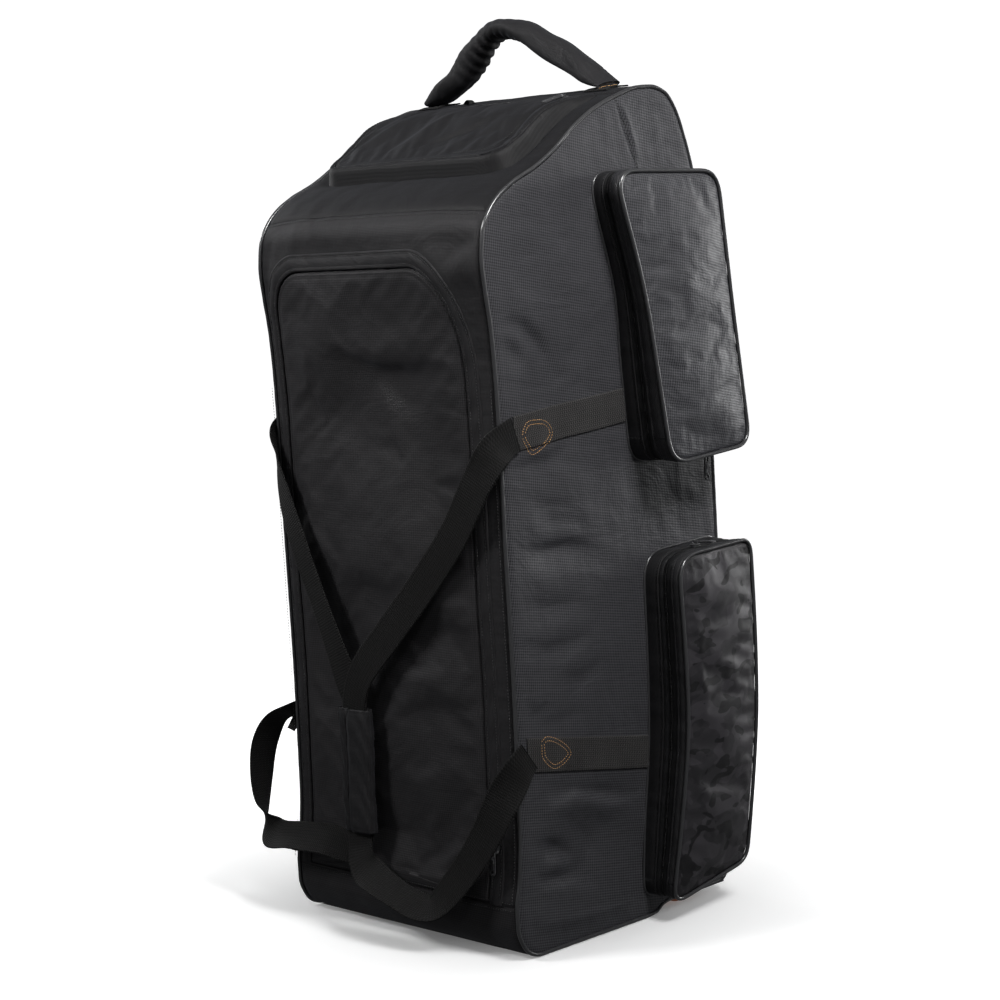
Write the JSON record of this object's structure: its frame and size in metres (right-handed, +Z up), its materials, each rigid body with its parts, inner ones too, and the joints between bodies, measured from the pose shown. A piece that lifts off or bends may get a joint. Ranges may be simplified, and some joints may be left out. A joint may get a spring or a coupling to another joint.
{
  "type": "cricket kit bag",
  "caption": "Tall soft kit bag with a zipped front flap, side pockets, wrapped carry straps, a top handle and rear wheels, standing on its end.",
  "frame": {"origin": "centre of the bottom end of the bag, on the floor", "axes": "+X to the right seen from the front, +Y to the back, +Z up along the length of the bag"},
  "size_m": [0.4928, 0.409, 1.0235],
  "materials": {
    "front_cloth": "fine woven nylon, matt",
    "fly_cloth": "fine woven nylon, matt",
    "bottom_cloth": "coated cloth",
    "side_oxford": "oxford weave with a slight sheen",
    "pocket_oxford": "oxford weave with a slight sheen",
    "camo_cloth": "woven tone-on-tone camouflage",
    "zip_tape": "ribbed tape",
    "piping": "glossy vinyl cord",
    "webbing": "coarse ribbed webbing",
    "grip_cloth": "padded woven sleeve",
    "moulding": "grained black moulding",
    "hub_plastic": "satin black",
    "orange_tyre": "satin polyurethane",
    "axle_steel": "satin",
    "zip_metal": "glossy black lacquer"
  },
  "bodies": {
    "bag": {"front_frame": "front_cloth", "main_flap": "front_cloth", "front_kick": "front_cloth", "top_panel": "front_cloth", "back_panel": "front_cloth", "end_gusset": "front_cloth", "end_lid": "front_cloth", "zip_fly": "fly_cloth", "bottom_panel": "bottom_cloth", "side_panel_right": "side_oxford", "side_panel_left": "side_oxford", "crest_panel": "side_oxford", "upper_gusset": "pocket_oxford", "upper_rim": "pocket_oxford", "upper_face": "pocket_oxford", "lower_gusset": "pocket_oxford", "lower_rim": "pocket_oxford", "lower_face": "camo_cloth", "upper_zip": "zip_tape", "lower_zip": "zip_tape", "piping_right": "piping", "piping_left": "piping", "upper_piping": "piping", "lower_piping": "piping", "web_upper_right": "webbing", "web_lower_right": "webbing", "web_upper_left": "webbing", "web_lower_left": "webbing", "strap_right": "webbing", "strap_left": "webbing", "handle_foot_left": "webbing", "handle_foot_right": "webbing", "side_tab": "webbing", "crest_tab": "webbing", "grip_wrap": "grip_cloth", "top_handle": "grip_cloth", "wheel_base": "moulding", "axle_left": "axle_steel", "axle_right": "axle_steel", "main_slider": "zip_metal", "main_puller": "zip_metal", "lower_slider": "zip_metal", "lower_puller": "zip_metal", "end_slider": "zip_metal", "end_puller": "zip_metal", "upper_slider": "zip_metal", "upper_puller": "zip_metal"},
    "wheel_left": {"tyre_left": "orange_tyre", "hub_left": "hub_plastic"},
    "wheel_right": {"tyre_right": "orange_tyre", "hub_right": "hub_plastic"}
  },
  "joints": [
    {"name": "wheel_left_spin", "type": "hinge", "parent": "bag", "child": "wheel_left", "pos_m": [-0.1528, 0.11, 0.042], "axis": [1, 0, 0], "continuous": true},
    {"name": "wheel_right_spin", "type": "hinge", "parent": "bag", "child": "wheel_right", "pos_m": [0.1528, 0.11, 0.042], "axis": [1, 0, 0], "continuous": true}
  ]
}
